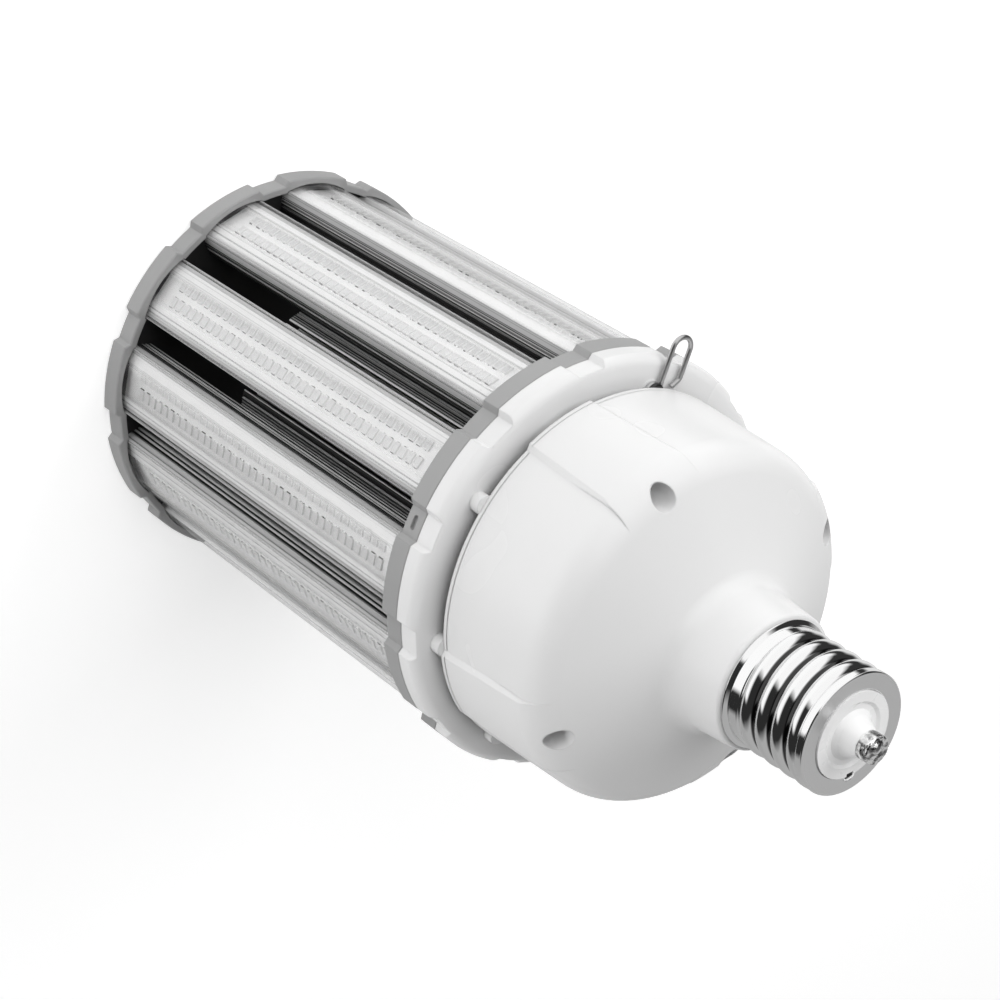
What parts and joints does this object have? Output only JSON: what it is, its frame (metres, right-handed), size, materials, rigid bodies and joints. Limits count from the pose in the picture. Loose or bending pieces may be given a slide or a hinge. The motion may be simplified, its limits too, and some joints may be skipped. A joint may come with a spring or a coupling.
{
  "type": "LED corn lamp",
  "caption": "Cylindrical LED corn lamp: light bars with clear covers between lobed grey rings, white driver housing, screw base and a wire safety loop.",
  "frame": {"origin": "on the lamp's axis, in the plane of the head ring's rim, where the lamp stands on its flat head", "axes": "+Z along the lamp's axis from the head to the centre contact; +X through the middle of the first light bar"},
  "size_m": [0.1384, 0.1446, 0.2974],
  "materials": {
    "ring_plastic": "satin moulded",
    "end_plate": "black, moulded",
    "screw_steel": "zinc plated",
    "white_gloss": "glossy moulded",
    "heat_sink": "clear anodised extrusion",
    "led_board": "white solder mask on aluminium",
    "clear_cover": "clear extruded polycarbonate",
    "circuit_board": "glass-epoxy laminate",
    "ferrite": "sintered, dark",
    "capacitor_sleeve": "shrink sleeve",
    "nickel_sleeve": "bright nickel plate",
    "insulator": "white glazed",
    "solder": "bright solder",
    "contact_brass": "nickel-plated brass with solder",
    "spring_wire": "drawn spring wire",
    "dark_screw": "black oxide"
  },
  "bodies": {
    "lamp": {"head_ring": "ring_plastic", "base_ring": "ring_plastic", "head_plate": "end_plate", "head_screws": "screw_steel", "collar_screws": "screw_steel", "housing_screws": "screw_steel", "driver_board_screws": "screw_steel", "collar": "white_gloss", "driver_housing": "white_gloss", "bar_01": "heat_sink", "bar_02": "heat_sink", "bar_03": "heat_sink", "bar_04": "heat_sink", "bar_05": "heat_sink", "bar_06": "heat_sink", "bar_07": "heat_sink", "bar_08": "heat_sink", "bar_09": "heat_sink", "bar_10": "heat_sink", "bar_11": "heat_sink", "bar_12": "heat_sink", "led_board_01": "led_board", "led_board_02": "led_board", "led_board_03": "led_board", "led_board_04": "led_board", "led_board_05": "led_board", "led_board_06": "led_board", "led_board_07": "led_board", "led_board_08": "led_board", "led_board_09": "led_board", "led_board_10": "led_board", "led_board_11": "led_board", "led_board_12": "led_board", "lens_cover_01": "clear_cover", "lens_cover_02": "clear_cover", "lens_cover_03": "clear_cover", "lens_cover_04": "clear_cover", "lens_cover_05": "clear_cover", "lens_cover_06": "clear_cover", "lens_cover_07": "clear_cover", "lens_cover_08": "clear_cover", "lens_cover_09": "clear_cover", "lens_cover_10": "clear_cover", "lens_cover_11": "clear_cover", "lens_cover_12": "clear_cover", "driver_board": "circuit_board", "driver_transformer": "ferrite", "driver_choke": "ferrite", "driver_capacitors": "capacitor_sleeve", "screw_sleeve": "nickel_sleeve", "base_insulator": "insulator", "sleeve_solder": "solder", "centre_contact": "contact_brass", "loop_screw": "dark_screw"},
    "loop": {"safety_loop": "spring_wire"}
  },
  "joints": [
    {"name": "loop_swing", "type": "hinge", "parent": "lamp", "child": "loop", "pos_m": [0.00735, 0.0578, 0.1753], "axis": [0, 0, 1], "range_deg": [-25, 25]}
  ]
}
